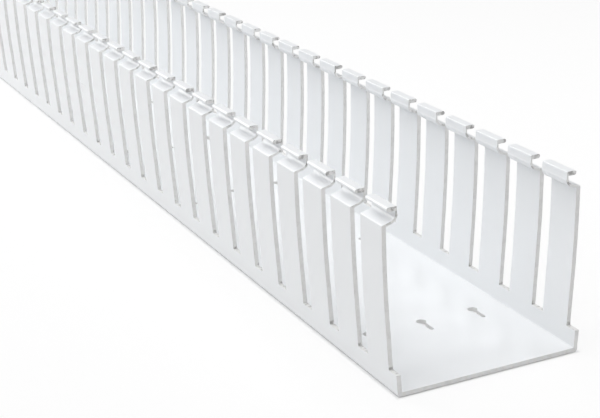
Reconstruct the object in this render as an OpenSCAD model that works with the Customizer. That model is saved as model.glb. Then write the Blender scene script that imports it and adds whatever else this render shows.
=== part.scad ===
// Slotted wire duct: one extruded PVC channel. Two finger walls stand on a flat
// base, each finger ends in a hooked lip that the clip-on cover holds by, and
// the base is punched with rows of keyholes for the mounting screws.
//
// The base lies on z = 0 with the origin at the middle of its length and width.
// X runs across the duct, Y along it, Z up. Lengths are in millimetres.

/* [Stock] */
// Length of the piece, as sold
duct_l = 1000; // [150:0.5:2000]
// Width across the outside of the base
base_w = 85; // [66:0.5:160]
// Thickness of the base
base_t = 2; // [1.2:0.1:3]
// Radius of the outer edge between base and wall
edge_r = 1.5; // [0.5:0.1:3]

/* [Walls] */
// Thickness of the walls
wall_t = 2; // [1.2:0.1:3]
// Height of the outer corner where the wall turns in to the lip
shoulder_h = 70; // [45:0.5:110]
// Outward lean of the lower wall, in degrees
wall_lean = 3.6; // [0:0.2:6]
// Height up to which the wall is straight, before it bends back upright
straight_h = 30; // [12:0.5:38]

/* [Slots] */
// Distance from one slot to the next
slot_pitch = 25; // [15:0.5:50]
// Width of a slot
slot_w = 8; // [4:0.1:12]
// Height of the unslotted wall above the underside of the base
sill_h = 9.6; // [5:0.1:11]
// Distance from the front end to the first finger
first_finger = 6; // [0.5:0.1:8]

/* [Cover lip] */
// Height of the lip above the wall's outer corner
lip_h = 6.9; // [6:0.1:9]
// Distance that the lip's ridge lies inside the wall's outer corner
lip_in = 7.1; // [6.4:0.1:9]
// Thickness of the strip that curves from the wall up into the lip
strip_t = 1.1; // [0.8:0.1:1.5]
// Radius of the underside of that strip
strip_r = 4; // [3.2:0.1:4.4]
// Height of that radius's centre above the wall's outer corner
strip_v = 3.9; // [3.5:0.1:4.4]
// Slope of the strip where it leaves the wall, in degrees
strip_slope = 18; // [8:1:26]
// Thickness of the lip's outward flange
flange_t = 1.9; // [1.2:0.1:2.2]
// Reach of the flange outward from the lip's inner face
flange_l = 4.6; // [3.5:0.1:6]
// Depth of the shallow ridge that stands in from the lip's inner face
ridge_t = 0.3; // [0.1:0.05:0.6]

/* [Keyholes] */
// Diameter of a keyhole's round head
keyhole_d = 4.4; // [3:0.1:7]
// Width of a keyhole's narrow tail
tail_w = 1.9; // [1:0.1:2.8]
// Distance from the middle of the head to the end of the tail
tail_l = 9.7; // [6:0.1:14]
// Distance from a row's middle hole to its side holes
keyhole_side = 26; // [12:0.5:27]
// Distance from the front end to the heads of the first row
first_row = 54; // [20:0.5:90]
// Distance from one row of keyholes to the next
row_pitch = 100; // [40:0.5:250]

/* [Hidden] */

front_y = -duct_l / 2;
bend_h = shoulder_h - straight_h;      // height over which the wall bends upright
bend_steps = 4;
arc_steps = 4;
cut_past = 5;                           // how far a cutter runs past the solid

// Outer face of the +X wall at height z: a straight lean, then a parabola whose
// slope falls to nothing at the shoulder
function wall_x(z) =
    base_w / 2 + tan(wall_lean) * (z <= straight_h
        ? z
        : straight_h + (z - straight_h) * (1 - (z - straight_h) / (2 * bend_h)));

// Points of an arc about a centre, by angle in degrees
function arc(centre, r, from, to, steps = arc_steps) =
    [for (i = [0 : steps])
        let (a = from + (to - from) * i / steps)
            centre + r * [cos(a), sin(a)]];

// Heights at which the wall's faces have a vertex, from straight_h up
bend_z = [for (i = [0 : bend_steps]) straight_h + bend_h * i / bend_steps];

// The lip is drawn in [u, v]: u inward and v upward from the wall's outer corner.
strip_centre = [lip_in - strip_r, strip_v];
strip_from = strip_slope - 90;          // where the strip's arc begins
strip_to = -12;                         // where it ends, at the ridge
stem_in = lip_in - ridge_t;             // inner face of the upright above the strip
stem_out = lip_in - strip_t;             // outer face of that upright
flange_r = flange_t / 2;
ridge_v = strip_v + strip_r * sin(strip_to);

// The strip's underside runs on straight to the wall's inner face
strip_foot = strip_centre + strip_r * [cos(strip_from), sin(strip_from)];
inner_corner = [wall_t, strip_foot[1] - (strip_foot[0] - wall_t) * tan(strip_slope)];

// Outer side of the lip, from the wall's outer corner up and over the flange
lip_outside = concat(
    [[0, 0]],
    arc(strip_centre, strip_r - strip_t, strip_from, 0),
    [[stem_out, lip_h - flange_t]],
    arc([stem_in - flange_l + flange_r, lip_h - flange_r], flange_r, 270, 90),
    [[stem_in, lip_h]]
);

// Inner side of the lip, from above the ridge down to the wall's inner face
lip_inside = concat(
    [[stem_in, ridge_v + 3 * ridge_t], [lip_in, ridge_v + ridge_t]],
    arc(strip_centre, strip_r, strip_to, strip_from),
    [inner_corner]
);

// Places lip points on the +X wall
function on_wall(points) =
    [for (p = points) [wall_x(shoulder_h) - p[0], shoulder_h + p[1]]];

// Half of the section on the +X side, from the middle of the underside round to
// the middle of the base's top
half_section = concat(
    [[0, 0]],
    arc([base_w / 2 - edge_r, edge_r], edge_r, -90, 0),
    [for (z = bend_z) if (z < shoulder_h) [wall_x(z), z]],
    on_wall(lip_outside),
    on_wall(lip_inside),
    [for (i = [bend_steps - 1 : -1 : 0]) [wall_x(bend_z[i]) - wall_t, bend_z[i]]],
    [[wall_x(base_t) - wall_t, base_t], [0, base_t]]
);

// The half and its mirror image, without the middle points doubled
section = concat(
    half_section,
    [for (i = [len(half_section) - 2 : -1 : 1]) [-half_section[i][0], half_section[i][1]]]
);

// The plain extrusion, before punching
module channel() {
    translate([0, duct_l / 2, 0])
        rotate([90, 0, 0])
            linear_extrude(height = duct_l)
                polygon(section);
}

// Slots through both walls, open at the top. The first and the last are only
// partly there, where the stock was sawn.
module slots() {
    count = ceil((duct_l - first_finger) / slot_pitch) + 1;
    translate([-base_w, 0, 0])
        rotate([90, 0, 90])
            linear_extrude(height = 2 * base_w)
                for (i = [0 : count - 1])
                    translate([front_y + first_finger - slot_w + i * slot_pitch, sill_h])
                        square([slot_w, shoulder_h + lip_h]);
}

// One keyhole: a round head, and a narrow tail toward the front end
module keyhole() {
    depth = base_t + 2 * cut_past;
    tail_end = arc([0, tail_w / 2 - tail_l], tail_w / 2, 180, 360, 6);
    translate([0, 0, -cut_past]) {
        cylinder(h = depth, d = keyhole_d, $fn = 36);
        linear_extrude(height = depth)
            polygon(concat(tail_end, [[tail_w / 2, 0], [-tail_w / 2, 0]]));
    }
}

// Rows of three keyholes along the base
module keyholes() {
    rows = floor((duct_l - first_row - keyhole_d) / row_pitch) + 1;
    for (i = [0 : rows - 1], x = [-keyhole_side, 0, keyhole_side])
        translate([x, front_y + first_row + i * row_pitch, 0])
            keyhole();
}

module duct() {
    color("white")
        difference() {
            channel();
            slots();
            keyholes();
        }
}

duct();
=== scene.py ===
"""Slotted wire duct of white rigid PVC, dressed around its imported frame.

Everything is in metres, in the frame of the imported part: X across the duct,
Y along it, Z up, with the base lying on z = 0.
"""
import math

import bmesh
import bpy
import numpy as np
from mathutils import Matrix, Vector
from mathutils.geometry import delaunay_2d_cdt


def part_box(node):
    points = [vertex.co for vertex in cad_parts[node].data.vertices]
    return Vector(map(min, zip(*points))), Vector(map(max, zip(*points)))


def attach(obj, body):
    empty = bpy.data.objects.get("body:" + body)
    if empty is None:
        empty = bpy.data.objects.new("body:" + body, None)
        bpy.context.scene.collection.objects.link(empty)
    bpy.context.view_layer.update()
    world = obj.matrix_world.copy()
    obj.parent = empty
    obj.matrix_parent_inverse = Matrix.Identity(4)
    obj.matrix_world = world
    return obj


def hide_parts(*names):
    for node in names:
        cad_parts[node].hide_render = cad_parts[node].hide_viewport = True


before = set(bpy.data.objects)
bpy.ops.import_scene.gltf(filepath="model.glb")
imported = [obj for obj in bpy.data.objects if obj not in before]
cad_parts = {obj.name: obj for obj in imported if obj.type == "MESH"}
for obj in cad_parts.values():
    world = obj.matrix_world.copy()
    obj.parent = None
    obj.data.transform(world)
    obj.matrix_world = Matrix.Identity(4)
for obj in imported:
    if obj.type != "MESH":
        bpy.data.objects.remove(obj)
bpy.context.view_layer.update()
duct_low, duct_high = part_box("duct")

# ---------------------------------------------------------------------------
# The extruded section. Rigid PVC leaves the die as one channel: a flat base,
# two walls that lean out and bend back upright, and on top of each a thin strip
# that curls up into the hooked lip for the cover.
MM = 0.001
base_width = 85 * MM
base_thick = 2 * MM
base_edge_radius = 1.5 * MM
wall_thick = 2 * MM
wall_lean = math.radians(3.6)
straight_height = 30 * MM        # the wall is straight up to here, then bends
shoulder_height = 70 * MM
inner_fillet = 0.5 * MM          # in the corner between base and wall
lip_height = duct_high.z - shoulder_height
lip_inset = 7.1 * MM             # the ridge, inside the wall's outer corner
strip_thick = 1.1 * MM
strip_radius = 4 * MM
strip_rise = 3.9 * MM            # centre of that radius above the shoulder
strip_slope = 18.0               # degrees, where the strip leaves the wall
ridge_angle = -12.0              # degrees, where its arc meets the ridge
ridge_depth = 0.3 * MM
flange_thick = 1.9 * MM
flange_reach = 4.6 * MM
corner_round = 0.6 * MM          # on the wall's outer top corner
top_round = 0.45 * MM            # on the lip's inner top edge
ridge_ramp = 3                   # rise above the ridge, in depths of the ridge
bend_levels = 13                 # points along the wall's bend
curve_steps = 10                 # of the lip's arcs
round_steps = 6                  # of its two small rounds


def arc(centre, radius, start, stop, steps):
    """Points of a circle about a centre: cosine and sine of evenly spaced angles."""
    angles = np.radians(np.linspace(start, stop, steps + 1))
    return np.stack([centre[0] + radius * np.cos(angles),
                     centre[1] + radius * np.sin(angles)], 1)


def wall_face(z):
    """Outer face of a wall at height z: a straight lean, then a parabola whose
    slope falls to nothing at the shoulder."""
    bend = shoulder_height - straight_height
    above = np.clip(z - straight_height, 0, bend)
    run = np.minimum(z, straight_height) + above * (1 - above / (2 * bend))
    return base_width / 2 + math.tan(wall_lean) * run


def lip_outline():
    """The lip as [inward, upward] from the wall's outer corner: up the outside
    of the strip, round the flange, and down the inside to the wall."""
    centre = (lip_inset - strip_radius, strip_rise)
    stem_in = lip_inset - ridge_depth
    stem_out = lip_inset - strip_thick
    ridge_level = strip_rise + strip_radius * math.sin(math.radians(ridge_angle))
    flange_centre = (stem_in - flange_reach + flange_thick / 2,
                     lip_height - flange_thick / 2)
    slope = math.tan(math.radians(strip_slope))
    bend = corner_round * math.tan(math.radians(45 - strip_slope / 2))
    outside = [
        arc((corner_round, -bend), corner_round, 180, 90 + strip_slope,
            round_steps),
        arc(centre, strip_radius - strip_thick, strip_slope - 90, 0, curve_steps),
        [[stem_out, lip_height - flange_thick]],
        arc(flange_centre, flange_thick / 2, 270, 90, curve_steps),
        arc((stem_in - top_round, lip_height - top_round), top_round, 90, 0,
            round_steps),
    ]
    under = arc(centre, strip_radius, ridge_angle, strip_slope - 90, curve_steps)
    foot = under[-1]
    corner = foot[1] - (foot[0] - wall_thick) * slope
    inside = [
        [[stem_in, ridge_level + ridge_ramp * ridge_depth],
         [lip_inset, ridge_level + ridge_depth]],
        under,
        [[wall_thick, corner]],
    ]
    return np.concatenate(outside + inside)


def finger_outline(sill):
    """Half section of a finger as [x, z]: from the sill up the outer face, round
    the lip, and down the inner face to the sill again."""
    bend = np.linspace(straight_height, shoulder_height, bend_levels)
    levels = np.concatenate([[sill], bend])
    up = np.stack([wall_face(levels), levels], 1)[:-1]
    down = np.stack([wall_face(levels) - wall_thick, levels], 1)[-2::-1]
    lip = lip_outline()
    top = np.stack([wall_face(shoulder_height) - lip[:, 0],
                    shoulder_height + lip[:, 1]], 1)
    return np.concatenate([up, top, down])


# ---------------------------------------------------------------------------
# The duct itself. The press punches open slots through both walls, which leaves
# the row of fingers, and rows of keyholes through the base; the saw then cuts
# the length off, a few millimetres before a finger.
slot_pitch = 25 * MM
slot_width = 8 * MM
sill_height = 9.6 * MM
first_finger = 6 * MM
keyhole_radius = 2.2 * MM
keyhole_tail_width = 1.9 * MM
keyhole_tail = 9.7 * MM          # from the head's centre to the end of the tail
keyhole_side = 26 * MM
first_row = 54 * MM
row_pitch = 100 * MM
cut_edge = 0.16 * MM             # rounding that saw and punch leave on an edge
cut_edge_steps = 2
cut_edge_angle = math.radians(38)
flat_face_weight = 80            # how far large flat faces set the shading
head_steps = 32                  # of a keyhole's round head
tail_steps = 10                  # of the half circle that ends its tail
edge_steps = 8                   # of the base's outer edge
fillet_steps = 4                 # of the corner between base and wall
same_point = 0.002 * MM          # points closer than this are sewn together
plan_tolerance = 1e-7            # metres, in cutting the base's flats

front, rear = duct_low.y, duct_high.y
finger_front = np.arange(front + first_finger, rear, slot_pitch)
finger_rear = finger_front + slot_pitch - slot_width
stations = np.unique(np.round(
    np.concatenate([[front, rear], finger_front, finger_rear]), 7))


def sweep(path, ys, first):
    """A path in X and Z carried along Y through the stations ys: a grid of
    points and its quads, numbered from first."""
    points = np.empty((len(ys), len(path), 3))
    points[:, :, 0] = path[None, :, 0]
    points[:, :, 1] = np.asarray(ys)[:, None]
    points[:, :, 2] = path[None, :, 1]
    index = first + np.arange(len(ys) * len(path)).reshape(len(ys), len(path))
    quads = np.stack([index[:-1, :-1], index[1:, :-1],
                      index[1:, 1:], index[:-1, 1:]], -1)
    return points.reshape(-1, 3), quads.reshape(-1, 4)


def keyhole_outline():
    """A round head, and a narrow tail toward the front that ends in a half circle,
    as a closed line about the head's centre."""
    half = keyhole_tail_width / 2
    meet = math.degrees(math.asin(half / keyhole_radius))
    head = arc((0, 0), keyhole_radius, meet - 90, 270 - meet, head_steps)
    tail = arc((0, half - keyhole_tail), half, 180, 360, tail_steps)
    return np.concatenate([head, tail])


def plate(half_width, z, holes, first):
    """The flat of the base at height z as triangles: its long sides carry the
    stations of the slots, and the loops of the keyholes are left out of it, which
    is what the triangulation's kind 2 does with a loop inside another."""
    leave_out_loops = 2
    side = np.stack([np.full(len(stations), half_width), stations], 1)
    rim = np.concatenate([side, (side * [-1, 1])[::-1]])
    loops = [rim] + list(holes)
    ends = np.cumsum([len(loop) for loop in loops])
    outlines = [list(range(end - len(loop), end))
                for loop, end in zip(loops, ends)]
    corners = [Vector(p) for p in np.concatenate(loops)]
    found = delaunay_2d_cdt(corners, [], outlines, leave_out_loops, plan_tolerance)
    flat = np.array([tuple(p) for p in found[0]])
    points = np.column_stack([flat, np.full(len(flat), z)])
    return points, [[first + i for i in face] for face in found[2]]


def duct_mesh():
    """Collects the surfaces of the duct, sewn together where their points meet:
    fingers, sills, trough, ends, base plates and the walls of the keyholes."""
    points, faces, cut = [], [], []
    count = 0

    def add(new_points, new_faces, is_cut=False):
        nonlocal count
        points.append(new_points)
        faces.extend([list(map(int, face)) for face in new_faces])
        cut.extend([float(is_cut)] * len(new_faces))
        count += len(new_points)

    finger = finger_outline(sill_height)
    sill_out = finger[0]
    sill_in = finger[-1]
    outer = np.concatenate([[sill_out],
                            arc((base_width / 2 - base_edge_radius, base_edge_radius),
                                base_edge_radius, 0, -90, edge_steps)])
    foot = wall_face(base_thick) - wall_thick
    inner = np.concatenate([[sill_in],
                            arc((foot - inner_fillet, base_thick + inner_fillet),
                                inner_fillet, 0, -90, fillet_steps)])
    for side in (1, -1):
        mirror = np.array([side, 1])
        for y0, y1 in zip(finger_front, finger_rear):
            new, quads = sweep(finger * mirror, [y0, y1], count)
            start = count
            add(new, quads)
            ring = start + np.arange(len(finger))
            faces.extend([ring.tolist(), (ring + len(finger)).tolist()])
            cut.extend([1.0, 1.0])
        for path in (outer, inner):
            new, quads = sweep(path * mirror, stations, count)
            add(new, quads)
        new, quads = sweep(np.array([sill_out, sill_in]) * mirror, stations, count)
        middles = (stations[1:] + stations[:-1])[:, None] / 2
        in_finger = (middles > finger_front) & (middles < finger_rear)
        in_slot = ~in_finger.any(1)
        add(new, quads[in_slot], True)

    section = np.concatenate([outer, (outer * [-1, 1])[::-1],
                              inner * [-1, 1], inner[::-1]])
    for y in (front, rear):
        new = np.column_stack([section[:, 0], np.full(len(section), y), section[:, 1]])
        add(new, [count + np.arange(len(section))], True)

    outline = keyhole_outline()
    rows = np.arange(front + first_row, rear - keyhole_radius, row_pitch)
    holes = [outline + [x, y] for y in rows for x in (-keyhole_side, 0, keyhole_side)]
    for half_width, z in ((outer[-1, 0], 0.0), (inner[-1, 0], base_thick)):
        new, triangles = plate(half_width, z, holes, count)
        add(new, triangles)
    for hole in holes:
        loop = np.concatenate([hole, hole[:1]])
        ring = np.concatenate([np.column_stack([loop, np.full(len(loop), z)])
                               for z in (0.0, base_thick)])
        low = count + np.arange(len(loop) - 1)
        high = low + len(loop)
        add(ring, np.stack([low, low + 1, high + 1, high], 1), True)
    return np.concatenate(points), faces, cut


def as_object(name, points, faces, cut):
    """Puts points and faces into a mesh, sews coincident points together, turns
    the faces outward and marks the sawn and punched ones."""
    mesh = bpy.data.meshes.new(name)
    mesh.from_pydata(points, [], faces)
    mark = mesh.attributes.new("cut", "FLOAT", "FACE")
    mark.data.foreach_set("value", np.asarray(cut, np.float32))
    shell = bmesh.new()
    shell.from_mesh(mesh)
    bmesh.ops.remove_doubles(shell, verts=shell.verts, dist=same_point)
    bmesh.ops.recalc_face_normals(shell, faces=shell.faces)
    shell.to_mesh(mesh)
    shell.free()
    mesh.shade_smooth()
    made = bpy.data.objects.new(name, mesh)
    bpy.context.scene.collection.objects.link(made)
    return made


duct = as_object("duct_body", *duct_mesh())
rounding = duct.modifiers.new("cut_edges", "BEVEL")
rounding.width = cut_edge
rounding.segments = cut_edge_steps
rounding.limit_method = "ANGLE"
rounding.angle_limit = cut_edge_angle
rounding.use_clamp_overlap = True
flats = duct.modifiers.new("flat_faces", "WEIGHTED_NORMAL")
flats.weight = flat_face_weight


class Signal:
    """A shader socket used in arithmetic: each operator adds its Math node."""

    def __init__(self, tree, socket):
        self.tree = tree
        self.socket = socket

    def node(self, kind, settings=None, inputs=None, output=0):
        """Adds a node: its settings first, then values or links on its sockets."""
        made = self.tree.nodes.new(kind)
        for name, value in (settings or {}).items():
            setattr(made, name, value)
        for name, value in (inputs or {}).items():
            if isinstance(value, Signal):
                self.tree.links.new(value.socket, made.inputs[name])
            else:
                made.inputs[name].default_value = value
        return Signal(self.tree, made.outputs[output])

    def math(self, operation, a, b=0.0):
        """One Math node on two numbers or signals."""
        return self.node("ShaderNodeMath", {"operation": operation}, {0: a, 1: b})

    def __add__(self, other):
        return self.math("ADD", self, other)

    def __sub__(self, other):
        return self.math("SUBTRACT", self, other)

    def __rsub__(self, other):
        return self.math("SUBTRACT", other, self)

    def __mul__(self, other):
        return self.math("MULTIPLY", self, other)

    def __truediv__(self, other):
        return self.math("DIVIDE", self, other)

    __radd__ = __add__
    __rmul__ = __mul__

    def within(self, low, high):
        """0 below low, 1 above high, and a smooth step between."""
        return self.node("ShaderNodeMapRange", {"interpolation_type": "SMOOTHSTEP"},
                         {"Value": self, "From Min": low, "From Max": high})

    def parts(self):
        """The X, Y and Z of a vector, each as a signal."""
        split = self.node("ShaderNodeSeparateXYZ", None, {0: self}).socket.node
        return [Signal(self.tree, socket) for socket in split.outputs]

    def blend(self, under, over):
        """The colour under where this is 0, and over where it is 1."""
        return self.node("ShaderNodeMix", {"data_type": "RGBA"},
                         {0: self, 6: under, 7: over}, output=2)


# White rigid PVC: satin off the die with faint draw lines along the length,
# greyer and duller where saw and punch went through, with smudges of dust on
# the cut faces, painted shade on those at the lips and slot feet, and a few dark
# specks.
pvc_white = (0.86, 0.875, 0.89, 1)
cut_white = (0.80, 0.80, 0.795, 1)
# the grey of the dust and specks, and of the painted shade
dust_and_shade_grey = (0.16, 0.155, 0.15, 1)
pvc_ior = 1.53
satin_finish = 0.26              # roughness off the die
line_roughening = 0.08           # added by the draw lines, the cut, and the dust and painted shade
cut_roughening = 0.24
dust_and_shade_roughening = 0.2
cloud_depth = 0.04               # how much the white varies in tone
dust_all_over = 0.07             # share of dust on every cut face
# painted shade: darker cut faces at the lips and at the feet of the slots
painted_shade_at_lip = 0.5
painted_shade_at_foot = 0.45
smudge_from, smudge_full = 0.46, 0.66
specks_per_metre = 42.0          # places where a speck may lie
speck_from, speck_full = 0.90, 0.92   # of those, the few that have one
speck_size = 0.45 * MM
speck_dark = 0.85
line_relief, grain_relief = 0.7, 0.3
relief_strength = 0.25
relief_depth = 0.04 * MM

pvc = bpy.data.materials.new("white_pvc")
pvc.use_nodes = True
shader = pvc.node_tree.nodes["Principled BSDF"]
base = Signal(pvc.node_tree, None)
where = base.node("ShaderNodeTexCoord", output="Object")
across, along, above = where.parts()
on_cut = base.node("ShaderNodeAttribute", {"attribute_name": "cut"}, output="Fac")


def noise(place, stretch, scale, detail=2.0):
    """Noise from 0 to 1 on a place that is stretched along its axes first."""
    moved = base.node("ShaderNodeMapping", None, {"Vector": place, "Scale": stretch})
    return base.node("ShaderNodeTexNoise", None,
                     {"Vector": moved, "Scale": scale, "Detail": detail,
                      "Roughness": 0.55})


draw_lines = noise(where, (1, 0.012, 1), scale=900.0, detail=3.0)
grain = noise(where, (1, 1, 1), scale=2600.0)
cloud = noise(where, (1, 0.5, 1), scale=22.0)
shear = noise(where, (0.25, 1, 1), scale=1500.0, detail=3.0)
smudge = noise(where, (1, 1, 1), scale=420.0)

at_lip = above.within(shoulder_height - 1 * MM, shoulder_height + 1.5 * MM)
at_foot = (above.within(sill_height - 0.3 * MM, sill_height + 0.2 * MM)
           * (1 - above.within(sill_height + 0.6 * MM, sill_height + 2.2 * MM)))
# Dust in smudges on every cut face, and painted shade on the cut faces at the lips and
# at the feet of the fingers.
dust_and_painted_shade = (on_cut * smudge.within(smudge_from, smudge_full)
        * (dust_all_over + at_lip * painted_shade_at_lip + at_foot * painted_shade_at_foot))
cells = base.node("ShaderNodeTexVoronoi", {"feature": "F1"},
                  {"Vector": where, "Scale": specks_per_metre,
                   "Randomness": 1.0}).socket.node
near = Signal(pvc.node_tree, cells.outputs["Distance"]) / specks_per_metre
chosen = Signal(pvc.node_tree, cells.outputs["Color"]).parts()
speck = ((1 - near.within(speck_size * 0.5, speck_size))
         * chosen[0].within(speck_from, speck_full))
tone = cloud * cloud_depth + (1 - cloud_depth / 2)
clean = on_cut.blend(pvc_white, cut_white)
toned = base.node("ShaderNodeMix", {"data_type": "RGBA", "blend_type": "MULTIPLY"},
                  {0: 1.0, 6: clean, 7: tone}, output=2)
# The white darkens toward one grey under dust, specks and painted shade.
worn_and_shaded = base.math("MAXIMUM", dust_and_painted_shade, speck * speck_dark).blend(toned, dust_and_shade_grey)
pvc.node_tree.links.new(worn_and_shaded.socket, shader.inputs["Base Color"])
satin = (satin_finish + draw_lines * line_roughening
         + on_cut * cut_roughening + dust_and_painted_shade * dust_and_shade_roughening)
pvc.node_tree.links.new(satin.socket, shader.inputs["Roughness"])
relief = ((1 - on_cut) * (draw_lines * line_relief + grain * grain_relief)
          + on_cut * shear)
bump = base.node("ShaderNodeBump", None,
                 {"Strength": relief_strength, "Distance": relief_depth,
                  "Height": relief})
pvc.node_tree.links.new(bump.socket, shader.inputs["Normal"])
shader.inputs["IOR"].default_value = pvc_ior
duct.data.materials.append(pvc)

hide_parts("duct")
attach(duct, "root")

# ---------------------------------------------------------------------------
# The floor: one wide pale sheet under the duct. To the camera it is mostly its
# own plain white, but for a narrow rim round the base and what lies under it,
# where the sheet is matt and holds the dark line of contact.
floor_size = 4.0
floor_gap = 0.15 * MM
floor_white = (0.90, 0.90, 0.90, 1)
floor_roughness = 0.9
floor_specular = 0.1
floor_own_light = 0.8
contact_rim = 1.5 * MM

floor_mesh = bpy.data.meshes.new("floor")
corners = np.array([[-1, -1], [1, -1], [1, 1], [-1, 1]]) * floor_size / 2
floor_mesh.from_pydata(np.column_stack([corners, np.full(4, -floor_gap)]), [],
                       [[0, 1, 2, 3]])
floor = bpy.data.objects.new("floor", floor_mesh)
bpy.context.scene.collection.objects.link(floor)
matt = bpy.data.materials.new("pale_floor")
matt.use_nodes = True
tree = matt.node_tree
surface = Signal(tree, None)
sheet = tree.nodes["Principled BSDF"]
sheet.inputs["Base Color"].default_value = floor_white
sheet.inputs["Roughness"].default_value = floor_roughness
sheet.inputs["Specular IOR Level"].default_value = floor_specular
spot = surface.node("ShaderNodeTexCoord", output="Object").parts()
beyond_x = surface.math("ABSOLUTE", spot[0]) - base_width / 2
beyond_y = surface.math("ABSOLUTE", spot[1]) - rear
beyond = surface.math("MAXIMUM", beyond_x, beyond_y)
rays = tree.nodes.new("ShaderNodeLightPath")
seen = surface.math("MAXIMUM", Signal(tree, rays.outputs["Is Camera Ray"]),
                    surface.math("MAXIMUM", Signal(tree, rays.outputs["Is Glossy Ray"]),
                                 Signal(tree, rays.outputs["Is Transmission Ray"])))
glow = surface.node("ShaderNodeEmission", None,
                    {"Color": (1, 1, 1, 1), "Strength": 1.0})
share = seen * floor_own_light * beyond.within(0, contact_rim)
mixed = surface.node("ShaderNodeMixShader", None,
                     {0: share, 1: Signal(tree, sheet.outputs[0]), 2: glow})
tree.links.new(mixed.socket, tree.nodes["Material Output"].inputs["Surface"])
floor_mesh.materials.append(matt)

# ---------------------------------------------------------------------------
# Light: a dim white room and five soft boxes. The long one overhead and the
# high one at the left light the open top, the strongest stands behind at the
# left, and weaker ones fill the right side and the sawn front end.
scene = bpy.context.scene
scene.view_settings.view_transform = "Standard"

room_light = 0.12
world = bpy.data.worlds.new("white_room")
scene.world = world
world.use_nodes = True
room = world.node_tree.nodes["Background"]
room.inputs["Color"].default_value = (1, 1, 1, 1)
room.inputs["Strength"].default_value = room_light


def soft_box(name, place, target, width, length, power):
    """A rectangular area light that faces its target."""
    lamp = bpy.data.lights.new(name, "AREA")
    lamp.shape = "RECTANGLE"
    lamp.size = width
    lamp.size_y = length
    lamp.energy = power
    box = bpy.data.objects.new(name, lamp)
    box.location = place
    facing = Vector(target) - Vector(place)
    box.rotation_euler = facing.to_track_quat("-Z", "Y").to_euler()
    scene.collection.objects.link(box)


soft_box("long_overhead_box", (0, -0.2, 0.7), (0, -0.2, 0), 0.5, 1.6, 4.7)
soft_box("high_left_box", (-0.8, -0.3, 1.1), (0, -0.3, 0), 0.8, 0.8, 4.3)
soft_box("rear_left_box", (-0.7, 1.1, 0.7), (0, 0.1, 0), 0.8, 0.8, 11.3)
soft_box("right_box", (1.2, -0.4, 0.35), (0, -0.3, 0.03), 0.6, 0.6, 7.0)
soft_box("front_box", (-0.5, -1.4, 0.5), (0, -0.4, 0.03), 0.5, 0.5, 2.0)

# ---------------------------------------------------------------------------
# The camera looks down the length of the duct from the left of its front end.
view_target = Vector((0.0205, -0.2861, 0.0))
view_distance = 0.7808
view_azimuth = math.radians(25.65)    # clockwise from +Y, seen from above
view_down = math.radians(19.83)
view_roll = math.radians(-1.764)
lens_mm = 88.5
sensor_mm = 36
nearest_seen = 10 * MM

camera_data = bpy.data.cameras.new("camera")
camera_data.lens = lens_mm
camera_data.sensor_width = sensor_mm
camera_data.clip_start = nearest_seen
camera = bpy.data.objects.new("camera", camera_data)
looking = Vector((math.sin(view_azimuth) * math.cos(view_down),
                  math.cos(view_azimuth) * math.cos(view_down),
                  -math.sin(view_down)))
camera.location = view_target - looking * view_distance
camera.rotation_euler = (looking.to_track_quat("-Z", "Y").to_matrix()
                         @ Matrix.Rotation(view_roll, 3, "Z")).to_euler()
scene.collection.objects.link(camera)
scene.camera = camera
